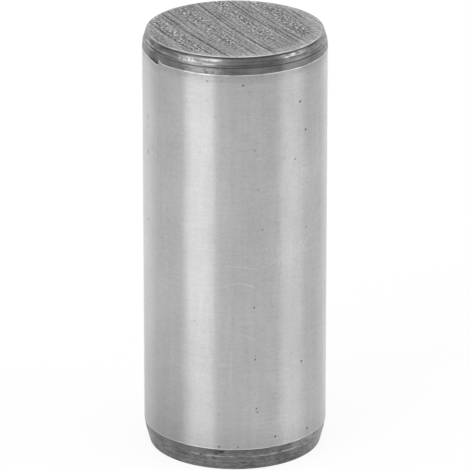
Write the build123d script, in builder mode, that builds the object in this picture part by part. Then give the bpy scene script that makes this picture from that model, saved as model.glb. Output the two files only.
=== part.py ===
from build123d import *
import os
from math import cos, radians, sin, tan

# Piston pin: one solid piece of steel, standing on its lower end.
#
# The barrel is ground to size. Each end has a lead-in of two cones turned before the grinding: a main
# chamfer beside the end face, and a shallow run-out that joins it to the barrel. The grinding wheel has
# met the run-out of the upper end at a low spot, which leaves a chip in the barrel's upper edge.
#
# Frame: origin at the centre of the lower end face, +Z along the pin's axis, -Y to the front.

# Driving dimensions, in millimetres and degrees. The angles of the cones are measured from the axis.
pin_diameter = 16.0
pin_length = 38.0

lower_chamfer_height = 1.35
lower_chamfer_angle = 15.0
lower_runout_height = 0.70
lower_runout_angle = 10.0

upper_chamfer_height = 0.86
upper_chamfer_angle = 17.0
upper_runout_height = 0.61
upper_runout_angle = 6.0

edge_break = 0.08  # radius on the rim of both end faces

chip_azimuth = 59.5  # the chip's middle, turned from the front towards -X
chip_depth = 0.10  # of its flat floor, below the barrel
chip_drop = 0.28  # how far its deepest corner reaches down the barrel
chip_wall_angle = 5.2  # from the chip's middle round to its steep wall
chip_tail_angle = 10.0  # from its middle the other way, to where its edge runs out

# Heights and radii that follow from them
pin_radius = pin_diameter / 2
lower_edge_z = lower_chamfer_height + lower_runout_height
upper_edge_z = pin_length - upper_chamfer_height - upper_runout_height
lower_ridge_radius = pin_radius - lower_runout_height * tan(radians(lower_runout_angle))
lower_face_radius = lower_ridge_radius - lower_chamfer_height * tan(radians(lower_chamfer_angle))
upper_ridge_radius = pin_radius - upper_runout_height * tan(radians(upper_runout_angle))
upper_face_radius = upper_ridge_radius - upper_chamfer_height * tan(radians(upper_chamfer_angle))

# The chip's floor is a plane square to its own radius. In this plane X runs round the pin and Y is height.
chip_floor_radius = pin_radius - chip_depth
chip_out = Vector(-sin(radians(chip_azimuth)), -cos(radians(chip_azimuth)), 0)
chip_floor = Plane(
    origin=chip_out * chip_floor_radius,
    x_dir=(-chip_out.Y, chip_out.X, 0),
    z_dir=chip_out,
)
chip_wall_x = chip_floor_radius * tan(radians(chip_wall_angle))
chip_tail_x = -chip_floor_radius * tan(radians(chip_tail_angle))

with BuildPart() as piston_pin:
    # Half section, turned about the axis
    with BuildSketch(Plane.XZ):
        with BuildLine():
            Polyline(
                (0, 0),
                (lower_face_radius, 0),
                (lower_ridge_radius, lower_chamfer_height),
                (pin_radius, lower_edge_z),
                (pin_radius, upper_edge_z),
                (upper_ridge_radius, upper_edge_z + upper_runout_height),
                (upper_face_radius, pin_length),
                (0, pin_length),
                close=True,
            )
        make_face()
    revolve(axis=Axis.Z)

    # Both end faces have a lightly broken rim
    rims = piston_pin.edges().filter_by(GeomType.CIRCLE).group_by(Axis.Z)
    fillet(rims[0] + rims[-1], radius=edge_break)

    # The chip: its lower edge slopes down to the steep wall, and its floor fades out on the chamfer above
    with BuildSketch(chip_floor):
        with BuildLine():
            Polyline(
                (chip_tail_x, upper_edge_z),
                (chip_wall_x, upper_edge_z - chip_drop),
                (chip_wall_x, pin_length),
                (chip_tail_x, pin_length),
                close=True,
            )
        make_face()
    extrude(amount=pin_radius, mode=Mode.SUBTRACT)

piston_pin.part.label = "piston_pin"

os.makedirs("parts", exist_ok=True)
export_step(piston_pin.part, "parts/piston_pin.step")
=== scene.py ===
"""The looks of a solid steel piston pin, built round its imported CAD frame.

The pin is one piece of steel. It was cut from bar with an abrasive wheel, its ends were turned to a
two-stage lead-in, and its barrel was centreless ground, so it shows three finishes: a bright ground
barrel, dark scale on the lead-ins, and a grey cut face crossed by the marks of the wheel.

Lengths are written in millimetres and turned to metres by MM. Azimuths are in degrees from the front
(-Y) towards +X.
"""
import logging
import math
from dataclasses import dataclass, replace
from enum import Enum
from functools import partial
from typing import Any, Callable, Mapping, Sequence, Union

import bpy
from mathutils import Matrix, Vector


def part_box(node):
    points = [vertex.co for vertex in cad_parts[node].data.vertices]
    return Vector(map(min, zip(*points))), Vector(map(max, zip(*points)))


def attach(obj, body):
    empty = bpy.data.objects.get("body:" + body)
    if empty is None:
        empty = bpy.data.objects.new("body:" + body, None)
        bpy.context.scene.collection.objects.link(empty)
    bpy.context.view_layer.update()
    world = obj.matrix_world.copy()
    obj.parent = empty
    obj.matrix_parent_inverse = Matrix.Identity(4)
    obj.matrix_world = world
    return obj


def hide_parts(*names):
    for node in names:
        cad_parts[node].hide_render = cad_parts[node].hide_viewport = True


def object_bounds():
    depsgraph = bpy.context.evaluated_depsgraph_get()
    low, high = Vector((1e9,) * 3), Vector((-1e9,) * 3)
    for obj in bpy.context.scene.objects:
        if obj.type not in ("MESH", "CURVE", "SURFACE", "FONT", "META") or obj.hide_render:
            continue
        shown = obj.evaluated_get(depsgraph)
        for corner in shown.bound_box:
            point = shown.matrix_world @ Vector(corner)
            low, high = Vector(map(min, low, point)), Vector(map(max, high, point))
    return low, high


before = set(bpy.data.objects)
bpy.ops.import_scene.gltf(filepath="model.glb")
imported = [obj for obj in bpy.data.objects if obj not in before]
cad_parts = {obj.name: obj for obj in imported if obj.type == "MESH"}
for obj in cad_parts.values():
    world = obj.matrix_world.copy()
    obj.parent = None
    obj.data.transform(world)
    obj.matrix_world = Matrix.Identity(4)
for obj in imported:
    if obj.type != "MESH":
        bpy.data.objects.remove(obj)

MM = 0.001
CAD_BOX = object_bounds()
NODE = "piston_pin"
BODY = "root"

MATH = "ShaderNodeMath"
VECTOR_MATH = "ShaderNodeVectorMath"
NOISE = "ShaderNodeTexNoise"
MAP_RANGE = "ShaderNodeMapRange"
COMBINE = "ShaderNodeCombineXYZ"
SEPARATE = "ShaderNodeSeparateXYZ"
SAMPLE = "GeometryNodeSampleIndex"
ATTRIBUTE = "GeometryNodeInputNamedAttribute"
MIX = "ShaderNodeMix"
STORED = "ShaderNodeAttribute"
SET_MATERIAL = "GeometryNodeSetMaterial"

GEOMETRY = "NodeSocketGeometry"
COUNT = "NodeSocketInt"
NUMBER = "NodeSocketFloat"
MATERIAL = "NodeSocketMaterial"
OBJECT = "NodeSocketObject"
WALL_INPUTS = {
    "Half section": GEOMETRY,
    "Across": COUNT,
    "Along": COUNT,
    "Turning depth": NUMBER,
    "Edge waviness": NUMBER,
    "Chip angle": NUMBER,
    "Chip floor": NUMBER,
    "Chip drop": NUMBER,
    "Chip wall": NUMBER,
    "Chip tail": NUMBER,
    "Burr rise": NUMBER,
    "Burr run": NUMBER,
    "Seed": NUMBER,
}
FACE_INPUTS = {
    "Radius": NUMBER,
    "Height": NUMBER,
    "Inwards": NUMBER,
    "Across": COUNT,
    "Along": COUNT,
    "Mark depth": NUMBER,
    "Tear depth": NUMBER,
}
PIN_INPUTS = {
    "Pits": OBJECT,
    "Pit roughness": NUMBER,
    "Mark azimuth": NUMBER,
    "Mark depth": NUMBER,
    "Tear depth": NUMBER,
    "Barrel finish": MATERIAL,
    "Lead-in finish": MATERIAL,
    "Face finish": MATERIAL,
    "Pit finish": MATERIAL,
}
ROW_SHARES = ("slide", "turned", "ground", "chipped", "scaled", "brink")

log = logging.getLogger("piston_pin")

Adder = Callable[..., bpy.types.Node]
Inputs = Union[Mapping[Any, Any], Sequence[Any]]
Layers = Sequence[tuple[Any, str]]


def fill(node: bpy.types.Node, inputs: Inputs) -> None:
    """Fills a node's inputs.

    Args:
        node: The node.
        inputs: Values, sockets or nodes, in order or keyed by name or place. A node stands for its first
            output.
    """
    pairs = inputs.items() if isinstance(inputs, Mapping) else enumerate(inputs)
    for key, value in pairs:
        source = value.outputs[0] if isinstance(value, bpy.types.Node) else value
        if isinstance(source, bpy.types.NodeSocket):
            node.id_data.links.new(source, node.inputs[key])
        else:
            node.inputs[key].default_value = source


def add_node(
    tree: bpy.types.NodeTree, kind: str, inputs: Inputs = (), operation: str = "", **settings: Any
) -> bpy.types.Node:
    """Adds one node to a tree.

    Args:
        tree: The shader or geometry tree that gets the node.
        kind: The node's type name.
        inputs: What fills its inputs.
        operation: What it works out, where its type has a choice.
        **settings: Other properties to set on the node.

    Returns:
        The new node.
    """
    node = tree.nodes.new(kind)
    if operation:
        node.operation = operation
    for name, value in settings.items():
        setattr(node, name, value)
    fill(node, inputs)
    return node


def new_geometry(
    name: str, inputs: Mapping[str, str], output: str
) -> tuple[bpy.types.NodeTree, Adder, Any]:
    """Starts a geometry tree.

    Args:
        name: The tree's name.
        inputs: The names of its inputs, and the kinds of their sockets.
        output: The name of the geometry that it gives.

    Returns:
        The tree, the function that adds its nodes, and its inputs by name.
    """
    tree = bpy.data.node_groups.new(name, "GeometryNodeTree")
    for label, kind in inputs.items():
        tree.interface.new_socket(label, in_out="INPUT", socket_type=kind)
    tree.interface.new_socket(output, in_out="OUTPUT", socket_type=GEOMETRY)
    add = partial(add_node, tree)
    return tree, add, add("NodeGroupInput").outputs


def new_material(name: str) -> tuple[bpy.types.Material, Adder, bpy.types.Node]:
    """Starts a material.

    Args:
        name: The finish's name.

    Returns:
        The material, the function that adds its nodes, and its shader.
    """
    made = bpy.data.materials.new(name)
    made.use_nodes = True
    return made, partial(add_node, made.node_tree), made.node_tree.nodes["Principled BSDF"]


def linear(hex_colour: str) -> tuple[float, float, float, float]:
    """Turns an sRGB hex colour to the linear colour that Blender's sockets hold.

    Args:
        hex_colour: The colour as "#RRGGBB".

    Returns:
        Red, green, blue and an alpha of 1.
    """
    parts = [int(hex_colour[i : i + 2], 16) / 255 for i in (1, 3, 5)]
    red, green, blue = (p / 12.92 if p <= 0.04045 else ((p + 0.055) / 1.055) ** 2.4 for p in parts)
    return red, green, blue, 1.0


def compass(azimuth: float, elevation: float = 0.0) -> Vector:
    """Gives the direction from the pin to a place round it.

    Args:
        azimuth: Degrees from the front towards +X.
        elevation: Degrees above the floor.

    Returns:
        A vector of length 1.
    """
    turn, rise = math.radians(azimuth), math.radians(elevation)
    return Vector((math.sin(turn) * math.cos(rise), -math.cos(turn) * math.cos(rise), math.sin(rise)))


def paint(add: Adder, shade: Any, layers: Layers) -> Any:
    """Lays colours over a shade, one after another.

    Args:
        add: Adds a node to the shader tree.
        shade: The colour underneath.
        layers: How much of each colour shows, from 0 to 1, and the colour as "#RRGGBB".

    Returns:
        The colour on top.
    """
    for amount, colour in layers:
        shade = add(MIX, {0: amount, 6: shade, 7: linear(colour)}, data_type="RGBA").outputs[2]
    return shade


# ---------------------------------------------------------------------------------------- marks


@dataclass(frozen=True)
class Grain:
    """One layer of noise, with the size of its grains along X, Y and Z in millimetres.

    It goes from 0 to 1 as the noise goes from low to high. Where low is above high, it is turned over.
    """

    size: tuple[float, float, float]
    low: float
    high: float
    detail: float = 0.0
    seed: float = 0.0

    def layer(self, add: Adder, place: Any, seed: Any = None) -> bpy.types.Node:
        """Adds the layer to a tree, where it is the same in the mesh and in its finish.

        Args:
            add: Adds a node to a shader or geometry tree.
            place: A position in metres.
            seed: A socket that picks the noise, in place of the grain's own seed.

        Returns:
            A node with the layer's value.
        """
        shrink = tuple(1 / (length * MM) for length in self.size)
        drawn = add(VECTOR_MATH, (place, shrink), "MULTIPLY")
        pick = self.seed if seed is None else seed
        values = {"Vector": drawn, "W": pick, "Scale": 1.0, "Detail": self.detail}
        return add(MAP_RANGE, (add(NOISE, values, noise_dimensions="4D"), self.low, self.high, 0.0, 1.0))


# A belt or a scratch is at its full strength up to one share of its width from its middle, and ends at
# the other
FULL_TO = 0.1
EDGE_AT = 0.5


@dataclass(frozen=True)
class WheelMarks:
    """The marks of the abrasive wheel on a cut end, in millimetres.

    The wheel crosses the bar in flat arcs, so its lines are nearly straight. Its coarsest grits leave
    scores that run right across, each with a burr thrown up along one side, drawn as a painted highlight.
    As the wheel wobbles it drags and tears the steel to small grains, in belts at an even pitch.
    """

    azimuth: float = 26.8
    wheel_radius: float = 100.0
    belt_pitch: float = 3.4
    belt_middle: float = -1.5
    belt_width: float = 2.0
    belt_end: float = 4.0
    belt_fade: float = 0.7
    past_belt_end: float = 0.2
    between_belts: float = 0.26
    burr_side: float = 0.28
    score_left: float = 0.25
    line_depth: float = 0.80
    swell_depth: float = 0.16
    # Scores run right across the face. The burrs, painted highlights, are the same noise, where it is
    # strongest
    score: Grain = Grain((0.32, 40.0, 40.0), 0.50, 0.72, seed=56.0)
    burred: Grain = Grain((0.32, 40.0, 40.0), 0.61, 0.80, seed=56.0)
    swell: Grain = Grain((0.9, 9.0, 9.0), 0.35, 0.70, seed=42.0)
    # A wheel's single lines and torn grains are too fine to show, so these are drawn coarser
    line: Grain = Grain((0.17, 5.0, 5.0), 0.40, 0.74, 1.0, seed=41.0)
    tear: Grain = Grain((0.17, 0.30, 0.30), 0.34, 0.66, seed=44.0)
    # Where the wheel skips, and where it drags
    skip: Grain = Grain((0.6, 2.5, 2.5), 0.25, 0.60, 1.0, seed=40.0)
    drag: Grain = Grain((0.7, 1.6, 1.6), 0.30, 0.64, 1.0, seed=43.0)

    def pattern(self, add: Adder, place: Any) -> tuple[bpy.types.Node, ...]:
        """Adds the marks to a tree.

        Args:
            add: Adds a node to a shader or geometry tree.
            place: A position in metres, with Y along the marks.

        Returns:
            The depth of the lines, the torn grain, where the steel is torn, and the painted highlights of
            the burrs beside the deepest scores, each from 0 to 1.
        """
        parts = add(SEPARATE, (place,)).outputs
        square = add(MATH, (parts["Y"], parts["Y"]), "MULTIPLY")
        across = add(MATH, (square, 0.5 / (self.wheel_radius * MM), parts["X"]), "MULTIPLY_ADD")
        swept = add(COMBINE, (across, parts["Y"], 0.0))

        # Lines and scores, which the wheel skips here and there
        skip = self.skip.layer(add, swept)
        kept = add(MAP_RANGE, (skip, 0.0, 1.0, self.score_left, 1.0))
        scored = self.score.layer(add, swept)
        score = add(MATH, (scored, kept), "MULTIPLY")
        line = self.line.layer(add, swept)
        swell = self.swell.layer(add, swept)
        fine = add(MATH, (line, self.line_depth, score), "MULTIPLY_ADD")
        depth = add(MATH, (swell, self.swell_depth, fine), "MULTIPLY_ADD", use_clamp=True)

        # Belts of torn steel, which give out before the far side
        off = add(MATH, (across, self.belt_middle * MM), "SUBTRACT")
        away = add(MATH, (off, self.belt_pitch / 2 * MM), "PINGPONG")
        full, edge = FULL_TO * self.belt_width * MM, EDGE_AT * self.belt_width * MM
        belt = add(MAP_RANGE, (away, full, edge, 1.0, 0.0))
        start, stop = (self.belt_end - self.belt_fade) * MM, (self.belt_end + self.belt_fade) * MM
        reach = add(MAP_RANGE, (parts["Y"], start, stop, 1.0, self.past_belt_end))
        drag = self.drag.layer(add, swept)
        dragged = add(MATH, (belt, drag), "MULTIPLY")
        dragged = add(MATH, (dragged, reach), "MULTIPLY")
        torn = add(MAP_RANGE, (dragged, 0.0, 1.0, self.between_belts, 1.0))
        grains = self.tear.layer(add, swept)

        # The burr of a score, a painted highlight, is the score's own pattern, moved to one side
        beside = add(VECTOR_MATH, (swept, (-self.burr_side * MM, 0.0, 0.0)), "ADD")
        ridged = self.burred.layer(add, beside)
        burr_highlight = add(MATH, (ridged, kept), "MULTIPLY")
        return depth, grains, torn, burr_highlight


MARKS = WheelMarks()
BARREL_RADIUS = 8.0
# The middle of a layer's range
MIDDLE = 0.5

# How wear and dirt, and the painted glints, reflections and shade, lie on the lead-ins. Most are drawn
# out round the pin, as it was turned. EVEN is 1 everywhere
EVEN = Grain((1.0, 1.0, 1.0), -1.0, 0.0)
RUBBED = Grain((0.7, 0.7, 0.16), 0.40, 0.60, 2.0, seed=8.0)
FLECKED = Grain((0.19, 0.19, 0.11), 0.46, 0.64, 1.0, seed=8.0)
SPOTTED = Grain((0.34, 0.34, 0.22), 0.54, 0.68, 1.0, seed=8.0)
BROKEN = Grain((1.5, 1.5, 1.5), 0.25, 0.60, 2.0, seed=8.0)
WORN = Grain((0.7, 0.7, 0.35), 0.25, 0.60, 2.0, seed=8.0)
# Galling tears the scale off in rings, and GALLED is dark in the gaps that TORN leaves between them
TORN = Grain((1.6, 1.6, 0.13), 0.50, 0.62, 2.0, seed=8.0)
GALLED = Grain((1.6, 1.6, 0.13), 0.50, 0.38, 2.0, seed=8.0)

# A tool's lines are finer than shows, so they are drawn coarser, at 0.2 mm
TURNING = Grain((9.0, 9.0, 0.20), 0.38, 0.62, 1.0, seed=3.0)
EDGE_WANDER = Grain((1.6, 1.6, 1.6), 0.2, 0.8, 3.0)
PIT_WALL = Grain((0.06, 0.06, 0.06), 0.2, 0.8, seed=50.0)


@dataclass(frozen=True)
class Pit:
    """A corrosion pit, the stain of one that was ground away, or a wide patch of painted shade, in
    millimetres.

    Its place is an azimuth from the front towards +X, a level above the floor and a distance from the axis.
    """

    azimuth: float
    level: float
    width: float
    height: float
    depth: float = 0.05
    radius: float = 8.0
    stain: float = 0.2
    stain_full: float = 0.3
    stain_end: float = 1.2

    def place(self) -> Vector:
        """Gives the pit's place in metres."""
        return compass(self.azimuth) * self.radius * MM + Vector((0, 0, self.level * MM))

    def stained(self, add: Adder, place: Any) -> bpy.types.Node:
        """Adds the stain round the pit, or the patch of painted shade.

        Args:
            add: Adds a node to the shader tree.
            place: The place on the barrel.

        Returns:
            A node with the strength of the stain, which fades to 0 a little outside the pit.
        """
        gap = add(VECTOR_MATH, (place, tuple(self.place())), "DISTANCE").outputs["Value"]
        halo = 0.5 * (self.width + self.height) * MM
        return add(MAP_RANGE, (gap, self.stain_full * halo, self.stain_end * halo, self.stain, 0.0))


# All but the last three are on the barrel. Two are on the lower lead-in, and one nicks the upper rim
PITS = (
    Pit(5.0, 35.6, 0.14, 0.12, stain=0.3),
    Pit(44.0, 33.4, 0.20, 0.12, stain=0.4),
    Pit(-17.0, 35.9, 0.10, 0.08, 0.03, stain=0.1),
    Pit(49.0, 30.7, 0.16, 0.12, stain=0.4),
    Pit(40.0, 28.3, 0.15, 0.06, 0.03, stain=0.15),
    Pit(-69.0, 21.6, 0.13, 0.10),
    Pit(17.0, 22.4, 0.08, 0.07, 0.03),
    Pit(50.0, 21.7, 0.09, 0.08, 0.03, stain=0.1),
    Pit(12.0, 15.3, 0.13, 0.11, stain=0.2),
    Pit(-26.0, 13.8, 0.08, 0.07, 0.03, stain=0.1),
    Pit(12.9, 10.8, 0.08, 0.07, 0.03, stain=0.1),
    Pit(12.6, 10.45, 0.11, 0.09, stain=0.2),
    Pit(46.0, 9.4, 0.17, 0.13, 0.04, stain=0.3),
    Pit(13.6, 5.85, 0.09, 0.07, stain=0.1),
    Pit(14.2, 5.5, 0.11, 0.09, stain=0.2),
    Pit(26.0, 3.0, 0.13, 0.14, stain=0.4),
    Pit(52.0, 2.8, 0.10, 0.22, 0.03, stain=0.5),
    Pit(-10.0, 2.3, 0.16, 0.12, 0.06),
    Pit(2.0, 2.3, 0.10, 0.08),
    Pit(48.5, 1.27, 0.14, 0.11, 0.06, 7.83),
    Pit(-61.0, 1.2, 0.13, 0.09, 0.06, 7.81),
    Pit(-31.9, 38.0, 0.24, 0.18, 0.14, 6.13),
)
# The first six are what is left of pits that were ground away. The next two, low on the left, are painted
# shade, the floor's shadow seen in the steel, and the last is a wide, faint bloom
STAINS_AND_SHADE = (
    Pit(12.2, 29.7, 0.16, 0.12, stain=0.35),
    Pit(14.3, 26.1, 0.14, 0.12, stain=0.4),
    Pit(-69.0, 31.0, 0.34, 0.24, stain=0.3),
    Pit(-69.0, 30.1, 0.30, 0.20, stain=0.2),
    Pit(-69.0, 27.8, 0.32, 0.24, stain=0.35),
    Pit(-69.0, 26.8, 0.26, 0.18, stain=0.15),
    Pit(-74.0, 4.5, 7.0, 12.0, stain=0.16),
    Pit(-50.0, 2.8, 5.0, 6.0, stain=0.10),
    Pit(-72.0, 35.0, 3.0, 5.0, stain=0.07),
)


@dataclass(frozen=True)
class Scratch:
    """A handling scratch on the barrel, between two places that are each an azimuth and a level."""

    start: tuple[float, float]
    end: tuple[float, float]
    amount: float = 0.3
    width: float = 0.22

    def layer(self, add: Adder, unrolled: Any) -> bpy.types.Node:
        """Adds the scratch to a shader tree.

        Args:
            add: Adds a node to the shader tree.
            unrolled: A place on the barrel in metres, unrolled from the front.

        Returns:
            A node with the strength of the scratch at each place.
        """
        start, end = (
            Vector((math.radians(azimuth) * BARREL_RADIUS * MM, level * MM, 0.0))
            for azimuth, level in (self.start, self.end)
        )
        run = (end - start).normalized()
        gap = add(VECTOR_MATH, (unrolled, tuple(start)), "SUBTRACT")
        along = add(VECTOR_MATH, (gap, tuple(run)), "DOT_PRODUCT").outputs["Value"]
        kept = add("ShaderNodeClamp", (along, 0.0, (end - start).length))
        foot = add(VECTOR_MATH, {0: tuple(run), "Scale": kept}, "SCALE")
        away = add(VECTOR_MATH, (gap, foot), "DISTANCE").outputs["Value"]
        full, edge = FULL_TO * self.width * MM, EDGE_AT * self.width * MM
        return add(MAP_RANGE, (away, full, edge, self.amount, 0.0))


SCRATCHES = (
    Scratch((-5.0, 19.2), (13.0, 18.9), 0.10),
    Scratch((-6.5, 17.3), (-1.0, 17.55), 0.16),
    Scratch((-1.0, 17.55), (5.0, 17.6), 0.20),
    Scratch((5.0, 17.6), (12.0, 17.2), 0.18),
    Scratch((-6.0, 12.7), (3.0, 12.9), 0.10),
    Scratch((3.0, 12.9), (12.0, 12.4), 0.12),
    Scratch((-1.5, 17.1), (-3.5, 14.1), 0.12),
    Scratch((-2.0, 11.3), (-3.0, 8.5), 0.12),
    Scratch((27.5, 21.0), (28.0, 18.7), 0.16),
    Scratch((69.0, 23.0), (48.0, 20.3), 0.16),
    Scratch((61.7, 24.3), (50.6, 21.5), 0.12),
    Scratch((66.0, 28.5), (58.0, 26.0), 0.12),
)

# ---------------------------------------------------------------------------------------- finishes


@dataclass(frozen=True)
class GroundSteel:
    """Centreless-ground bearing steel: bright, with soft upright bands of light.

    The scratches of the grinding run round the barrel and draw every reflection out along it. They are too
    fine to show one by one, so they are anisotropy and not a pattern.
    """

    colour: str = "#C0C0C0"
    dull_and_shade_colour: str = "#AAAAAA"
    stain_and_shade_colour: str = "#505050"
    brink_highlight_colour: str = "#F0F0F0"
    scratch_colour: str = "#F4F4F4"
    roughness: float = 0.34
    anisotropy: float = 0.95
    quarter_turn: float = 0.25
    # Painted shade near the lower edge, the floor's shadow seen in the steel; darkening near the upper
    # edge;
    # painted shade over the upper part; and how far each reaches, in millimetres
    foot_painted_shade: float = 0.6
    foot_shade_reach: float = 2.4
    high_dullness: float = 0.5
    high_reach: float = 1.0
    clear_of_edge: float = 0.1
    upper_painted_shade: float = 0.22
    upper_shade_reach: float = 10.0
    line_strength: float = 0.6
    round_line: Grain = Grain((2.5, 2.5, 0.14), 0.35, 0.65, 1.0, seed=14.0)
    # Clouds, fine lay, upright streaks, specks and smudges in the shine, and the strength of each
    mottle: tuple[tuple[Grain, float], ...] = (
        (Grain((3.5, 3.5, 5.0), 0.35, 0.70, 3.0, seed=11.0), 0.30),
        (Grain((1.6, 1.6, 0.22), 0.35, 0.65, 2.0, seed=18.0), 0.20),
        (Grain((0.5, 0.5, 7.0), 0.30, 0.70, 2.0, seed=12.0), 0.25),
        (Grain((0.16, 0.16, 0.16), 0.30, 0.70, 1.0, seed=13.0), 0.40),
        (Grain((0.5, 0.5, 0.4), 0.62, 0.80, 1.0, seed=17.0), 0.45),
    )
    # Painted highlights along the barrel's two edges, which come and go round the pin
    lower_brink_highlight: float = 0.50
    upper_brink_highlight: float = 0.85
    brink_left: float = 0.25
    brink_highlight_breakup: Grain = Grain((1.0, 1.0, 1.0), 0.35, 0.60, 2.0, seed=16.0)
    scratch_wear: Grain = replace(BROKEN, seed=19.0)
    # Patches that other parts rubbed: azimuth, level and reach
    scuffs: tuple[tuple[float, ...], ...] = ((24.0, 19.0, 2.6), (53.0, 26.8, 3.6), (50.0, 20.0, 2.4))
    scuff: Grain = Grain((0.24, 0.24, 0.18), 0.46, 0.66, 1.0, seed=20.0)
    scuff_amount: float = 0.16

    def dullness_and_shade(self, add: Adder, place: Any, height: Any, edges: tuple[float, float]) -> Any:
        """Adds how dull or shaded the steel is: painted shade near its lower edge and over its upper part,
        darker near its upper edge, and the unevenness of its shine.

        Args:
            add: Adds a node to the shader tree.
            place: The place on the barrel.
            height: Its height.
            edges: Heights of the barrel's lower and upper edge, in millimetres.

        Returns:
            A node that is 0 where the steel is bright, and about 1 where it is dull or painted in shade.
        """
        # Painted shade near the lower edge, the floor's shadow seen in the steel; darker near the upper
        # edge; painted shade over the upper part
        lower, upper = edges
        low, high, upper_shade = (
            add(MAP_RANGE, (height, start * MM, stop * MM, before, after))
            for start, stop, before, after in (
                (lower + self.clear_of_edge, lower + self.foot_shade_reach, self.foot_painted_shade, 0.0),
                (upper - self.high_reach, upper - self.clear_of_edge, 0.0, self.high_dullness),
                (upper - self.upper_shade_reach, upper, 0.0, self.upper_painted_shade),
            )
        )
        ends_and_shade = add(MATH, (low, high), "MAXIMUM")
        ends_and_shade = add(MATH, (ends_and_shade, upper_shade), "ADD")
        lined = add(MATH, (self.round_line.layer(add, place), high), "MULTIPLY")
        dull_and_shade = add(MATH, (lined, self.line_strength, ends_and_shade), "MULTIPLY_ADD")
        for grain, strength in self.mottle:
            dull_and_shade = add(MATH, (grain.layer(add, place), strength, dull_and_shade), "MULTIPLY_ADD")
        return dull_and_shade

    def marks(self, add: Adder, place: Any, pits: Sequence[Pit], edges: tuple[float, float]) -> Layers:
        """Adds the painted highlights on the brinks, the scratches and scuffs, and the stains and patches
        of painted shade.

        Args:
            add: Adds a node to the shader tree.
            place: The place on the barrel.
            pits: The pits, stains and patches of painted shade.
            edges: Heights of the barrel's lower and upper edge, in millimetres.

        Returns:
            How much of each mark shows, and its colour, in the order that they cover one another.
        """
        parts = add(SEPARATE, (place,)).outputs
        span = (edges[0] * MM, edges[1] * MM)
        # The brinks are painted highlights, broken up by noise and stronger at the upper edge
        brink = add(STORED, attribute_name="brink").outputs["Fac"]
        brink_breakup = add(MAP_RANGE, (self.brink_highlight_breakup.layer(add, place), 0.0, 1.0, self.brink_left, 1.0))
        side = add(MAP_RANGE, (parts["Z"], *span, self.lower_brink_highlight, self.upper_brink_highlight))
        marks = [(add(MATH, (brink, brink_breakup), "MULTIPLY"), side, self.brink_highlight_colour)]

        # Scratches and scuffs lie on the barrel as it unrolls from the front
        back = add(MATH, (parts["Y"], -1.0), "MULTIPLY")
        turn = add(MATH, (parts["X"], back), "ARCTAN2")
        arc = add(MATH, (turn, BARREL_RADIUS * MM), "MULTIPLY")
        unrolled = add(COMBINE, (arc, parts["Z"], 0.0))
        broken, rubs = self.scratch_wear.layer(add, place), self.scuff.layer(add, place)
        marks += [(scratch.layer(add, unrolled), broken, self.scratch_colour) for scratch in SCRATCHES]
        for azimuth, level, reach in self.scuffs:
            middle = (math.radians(azimuth) * BARREL_RADIUS * MM, level * MM, 0.0)
            gap = add(VECTOR_MATH, (unrolled, middle), "DISTANCE").outputs["Value"]
            inside = add(MAP_RANGE, (gap, 0.0, reach * MM, self.scuff_amount, 0.0))
            marks.append((inside, rubs, self.scratch_colour))
        layers = [(add(MATH, (mark, grain), "MULTIPLY"), colour) for mark, grain, colour in marks]
        # Stains round the pits, and wide patches of painted shade
        return layers + [(pit.stained(add, place), self.stain_and_shade_colour) for pit in pits]

    def material(self, pits: Sequence[Pit], edges: tuple[float, float]) -> bpy.types.Material:
        """Builds the material.

        Args:
            pits: The corrosion pits, stains and patches of painted shade.
            edges: Heights of the barrel's lower and upper edge, in millimetres.

        Returns:
            The material, which reads Object coordinates and the brink's attribute.
        """
        made, add, shader = new_material("ground_bearing_steel")
        place = add("ShaderNodeTexCoord").outputs["Object"]
        height = add(SEPARATE, (place,)).outputs["Z"]
        # Painted shade and the dull patches of the shine darken the steel
        dull_and_shade = self.dullness_and_shade(add, place, height, edges)
        mixed = {0: dull_and_shade, 6: linear(self.colour), 7: linear(self.dull_and_shade_colour)}
        shade = add(MIX, mixed, data_type="RGBA", clamp_factor=False).outputs[2]
        finish = {
            "Base Color": paint(add, shade, self.marks(add, place, pits, edges)),
            "Metallic": 1.0,
            "Roughness": self.roughness,
            "Anisotropic": self.anisotropy,
            "Anisotropic Rotation": self.quarter_turn,
            "Tangent": add("ShaderNodeTangent", direction_type="RADIAL", axis="Z"),
        }
        fill(shader, finish)
        return made


@dataclass(frozen=True)
class Ring:
    """A ring round a lead-in, or an arc of one, that isn't like the rest of its scale. Some are painted
    glints, reflections or shade.

    Heights are in millimetres. The arc's middle is in degrees from the front towards +X, its spread and its
    fade in degrees too.
    """

    height: float
    half_width: float
    amount: float
    colour: str
    roughness: float
    grain: Grain = RUBBED
    azimuth: float = 0.0
    spread: float = 360.0
    fade: float = 2.0
    full_to: float = 0.4

    def layer(self, add: Adder, place: Any, height: Any, outward: Any) -> bpy.types.Node:
        """Adds the ring to a shader tree.

        Args:
            add: Adds a node to the shader tree.
            place: The place on the lead-in.
            height: Its height.
            outward: The level direction from the axis to it.

        Returns:
            A node with how much of the ring shows.
        """
        gap = add(MATH, (height, self.height * MM), "SUBTRACT")
        away = add(MATH, (gap,), "ABSOLUTE")
        edge = self.half_width * MM
        inside = add(MAP_RANGE, (away, self.full_to * edge, edge, self.amount, 0.0))
        if self.grain is not EVEN:
            inside = add(MATH, (inside, self.grain.layer(add, place)), "MULTIPLY")
        if self.spread < 360.0:
            middle = tuple(compass(self.azimuth))
            facing = add(VECTOR_MATH, (outward, middle), "DOT_PRODUCT").outputs["Value"]
            end = math.cos(math.radians(self.spread / 2))
            full = math.cos(math.radians(self.spread / 2 - self.fade))
            arc = add(MAP_RANGE, (facing, end, full, 0.0, 1.0))
            inside = add(MATH, (inside, arc), "MULTIPLY")
        return inside


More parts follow.
